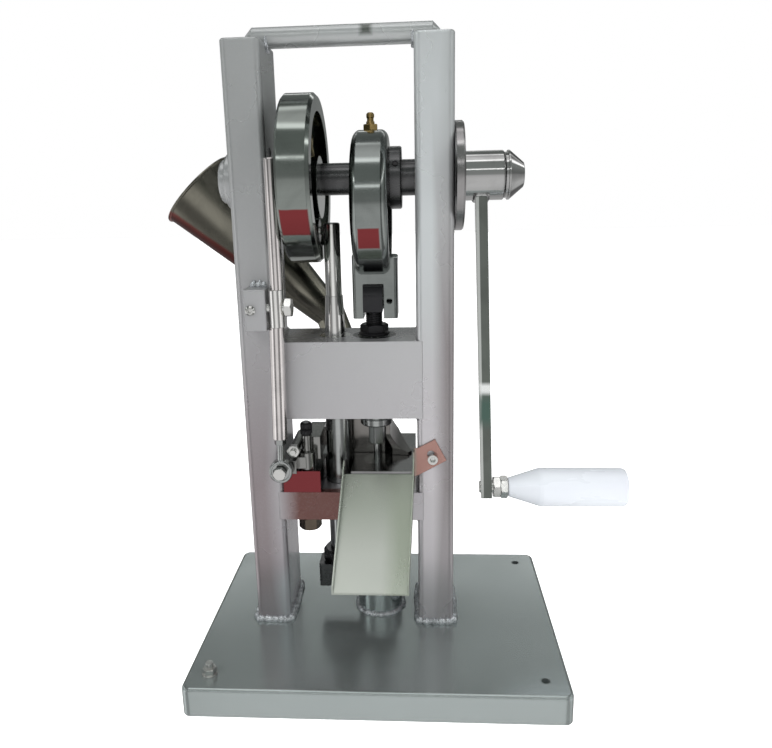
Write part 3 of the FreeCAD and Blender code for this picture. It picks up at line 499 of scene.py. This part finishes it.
def make_arm_weld():
    """The crank arm's weld follows the line where the bar meets the round hub."""
    low, high = millimetres("crank_hub")
    hub_r = (high[1] - low[1]) / 2
    hub_z = (high[2] + low[2]) / 2
    arm_x, arm_half_t, arm_half_depth = 85.6, 4.7, 12.4
    x0, x1 = arm_x - arm_half_t, arm_x + arm_half_t
    y0, y1 = SHAFT_Y - arm_half_depth, SHAFT_Y + arm_half_depth
    corners = [(x0, y0), (x1, y0), (x1, y1), (x0, y1)]
    seam = []
    for (x, y), (next_x, next_y) in zip(corners, corners[1:] + corners[:1]):
        count = max(4, round(max(abs(next_x - x), abs(next_y - y)) / 1.5))
        for i in range(count):
            at_y = y + (next_y - y) * i / count
            drop = math.sqrt(hub_r ** 2 - (at_y - SHAFT_Y) ** 2)
            seam.append((x + (next_x - x) * i / count, at_y, hub_z - drop))
    tube_run("arm_weld", seam, 1.7, "crankshaft", MATERIALS["bright_chrome"], closed=True,
             seed=1.2)


def make_bracket_bead():
    """A short bead along the top of the rocker bracket."""
    low, high = millimetres("rocker_bracket")
    seam = [((low[0] + 1.0 + i * 1.1, FRAME_FRONT, high[2]), (0, -1, 0), UP) for i in range(14)]
    corner_run("bracket_bead", seam, leg=3.0, rise=5.0, seed=4.0, closed=False)


def make_bar_beads():
    """The carry bar's ends are welded to the tops of the uprights."""
    low, high = millimetres("carry_bar")
    centre_y = (low[1] + high[1]) / 2
    centre_z, half_width, half_height = 506.0, 7.4, 7.2
    stand_off = 0.6
    turns = [math.radians(150 + 12 * k) for k in range(21)]
    for side, x in (("left", LEFT_INNER + stand_off), ("right", RIGHT_INNER - stand_off)):
        run = [(x, centre_y + half_width * math.cos(a), centre_z + half_height * math.sin(a)) for a in turns]
        tube_run(side + "_bar_bead", run, 1.5, "frame", WELD, seed=0.7)


def make_grease():
    """Grease pushed into the outer corner of the wheel's pocket."""
    pocket_floor = -53.4
    corner_r = 50.3
    smear = []
    for k in range(36):
        turn = math.radians(-20 + 2.2 * k)
        smear.append((pocket_floor + 0.5 * math.sin(k), SHAFT_Y + corner_r * math.cos(turn),
                      SHAFT_Z + corner_r * math.sin(turn)))
    tube_run("grease", smear, 1.2, "crankshaft", grease(), seed=2.6, uneven=0.4)


def make_rod_pin():
    """A thin pin that stands on the rocker rod, with its foot just inside the rod's top."""
    rod_x, rod_y = -72.8, -28.0
    pin_foot = 417.0
    pin = [(rod_x, rod_y, pin_foot + 1.2 * k) for k in range(8)]
    tube_run("rod_pin", pin, 1.3, "rocker", MATERIALS["dark_steel"], seed=0.3, uneven=0.05)


make_foot_beads()
make_threads()
make_knurl()
make_arm_weld()
make_bracket_bead()
make_bar_beads()
make_grease()
make_rod_pin()


# ---- floor, light and camera -----------------------------------------------------------------
def make_floor():
    """A sheet of white paper that glows faintly, so that it runs into the white background."""
    mesh = bpy.data.meshes.new("floor")
    half = 6.0
    corners = [(-half, -half, 0), (half, -half, 0), (half, half, 0), (-half, half, 0)]
    mesh.from_pydata(corners, [], [(0, 1, 2, 3)])
    floor = bpy.data.objects.new("floor", mesh)
    bpy.context.collection.objects.link(floor)
    n = Nodes("floor_paper")
    fibre = n.noise(700.0, 3.0, 0.5)
    tone = n.blend(n.spread(fibre, 0.0, 0.3), (0.90, 0.90, 0.90), (0.87, 0.87, 0.87))
    floor.data.materials.append(n.surface(Base_Color=tone, Roughness=0.9, Emission_Color=(1, 1, 1, 1),
                                          Emission_Strength=0.9))
    floor.visible_glossy = False


def area_light(name, place, target, size, energy):
    """A soft rectangular lamp that lights the object but isn't mirrored in it."""
    data = bpy.data.lights.new(name, "AREA")
    data.shape = "RECTANGLE"
    data.size, data.size_y = size
    data.energy = energy
    light = bpy.data.objects.new(name, data)
    light.visible_glossy = False
    light.location = place
    light.rotation_euler = (Vector(target) - Vector(place)).to_track_quat("-Z", "Y").to_euler()
    bpy.context.collection.objects.link(light)


def world_ramp(tree, value, stops):
    """A colour ramp over -1..1 of one part of the viewing direction."""
    span = tree.nodes.new("ShaderNodeMapRange")
    span.inputs["From Min"].default_value = -1.0
    span.inputs["From Max"].default_value = 1.0
    tree.links.new(value, span.inputs["Value"])
    ramp = tree.nodes.new("ShaderNodeValToRGB")
    tree.links.new(span.outputs["Result"], ramp.inputs["Fac"])
    elements = ramp.color_ramp.elements
    while len(elements) < len(stops):
        elements.new(0.5)
    for element, (position, colour) in zip(elements, stops):
        element.position = position
        rgb = (colour, colour, colour) if isinstance(colour, (int, float)) else colour
        element.color = (*rgb, 1.0)
    return ramp.outputs["Color"]


def multiplied(tree, a, b):
    """The product of two colours."""
    node = tree.nodes.new("ShaderNodeVectorMath")
    node.operation = "MULTIPLY"
    tree.links.new(a, node.inputs[0])
    tree.links.new(b, node.inputs[1])
    return node.outputs[0]


# the brightness of the room that all rays but the camera's see, as (position, grey or RGB), from
# floor to ceiling, from left to right and from front to back; the three are multiplied together
ROOM_BY_HEIGHT = [
    (0.00, 0.62), (0.12, 0.70), (0.40, 0.66), (0.50, 0.55), (0.535, (0.30, 0.31, 0.305)),
    (0.722, (0.26, 0.28, 0.27)), (0.730, 2.6), (0.744, 2.6), (0.752, (0.26, 0.28, 0.27)),
    (0.958, (0.24, 0.26, 0.25)), (0.966, 2.0), (0.978, 2.0), (0.986, 0.80), (1.0, 0.90)]
ROOM_ACROSS = [
    (0.00, 0.70), (0.04, 1.45), (0.11, 1.45), (0.15, 0.30), (0.28, 0.30), (0.37, 0.95), (0.62, 1.0),
    (0.70, 0.36), (0.86, 0.30), (0.90, 1.25), (0.96, 1.25), (1.00, 0.60)]
ROOM_DEPTH = [(0.0, 1.0), (0.45, 0.95), (0.60, 0.66), (1.0, 0.66)]


def make_world():
    """White to the camera; every other ray sees a room with strip lamps, dark walls and a pale floor."""
    world = bpy.data.worlds.new("studio")
    bpy.context.scene.world = world
    world.use_nodes = True
    tree = world.node_tree
    tree.nodes.clear()
    coord = tree.nodes.new("ShaderNodeTexCoord")
    split = tree.nodes.new("ShaderNodeSeparateXYZ")
    tree.links.new(coord.outputs["Generated"], split.inputs[0])
    by_height = world_ramp(tree, split.outputs["Z"], ROOM_BY_HEIGHT)
    across = world_ramp(tree, split.outputs["X"], ROOM_ACROSS)
    depth = world_ramp(tree, split.outputs["Y"], ROOM_DEPTH)
    whole = multiplied(tree, multiplied(tree, by_height, across), depth)
    room = tree.nodes.new("ShaderNodeBackground")
    tree.links.new(whole, room.inputs["Color"])
    room.inputs["Strength"].default_value = 1.25
    white = tree.nodes.new("ShaderNodeBackground")
    white.inputs["Color"].default_value = (1, 1, 1, 1)
    white.inputs["Strength"].default_value = 1.0
    path = tree.nodes.new("ShaderNodeLightPath")
    mix = tree.nodes.new("ShaderNodeMixShader")
    tree.links.new(path.outputs["Is Camera Ray"], mix.inputs["Fac"])
    tree.links.new(room.outputs[0], mix.inputs[1])
    tree.links.new(white.outputs[0], mix.inputs[2])
    out = tree.nodes.new("ShaderNodeOutputWorld")
    tree.links.new(mix.outputs[0], out.inputs["Surface"])


def make_camera():
    """A near, slightly raised view from just right of centre, with a small tilt of the horizon."""
    data = bpy.data.cameras.new("camera")
    data.sensor_width = 36.0
    data.lens = 33.1
    data.shift_x = 0.0169
    data.shift_y = -0.0149
    data.clip_start = 0.01
    camera = bpy.data.objects.new("camera", data)
    yaw, pitch, roll = (math.radians(a) for a in (-3.84, 13.64, -1.38))
    forward = Vector((math.sin(yaw) * math.cos(pitch), math.cos(yaw) * math.cos(pitch), -math.sin(pitch)))
    right = Vector((math.cos(yaw), -math.sin(yaw), 0))
    up = right.cross(forward)
    tilted_right = math.cos(roll) * right + math.sin(roll) * up
    tilted_up = -math.sin(roll) * right + math.cos(roll) * up
    turn = Matrix((tilted_right, tilted_up, -forward)).transposed()
    camera.matrix_world = Matrix.Translation(Vector((0.0362, -0.5673, 0.3928))) @ turn.to_4x4()
    bpy.context.collection.objects.link(camera)
    bpy.context.scene.camera = camera


make_floor()
make_world()
make_camera()
# name, place, target and size in m, and power in W
area_light("key", (-0.9, -1.3, 1.5), (0, 0, 0.25), (0.9, 0.9), 20.0)
area_light("fill", (1.5, -1.0, 0.9), (0, 0, 0.25), (0.8, 1.2), 14.0)
area_light("top", (0.0, 0.2, 1.9), (0, 0, 0.2), (1.4, 1.0), 9.0)
bpy.context.scene.view_settings.view_transform = "Standard"
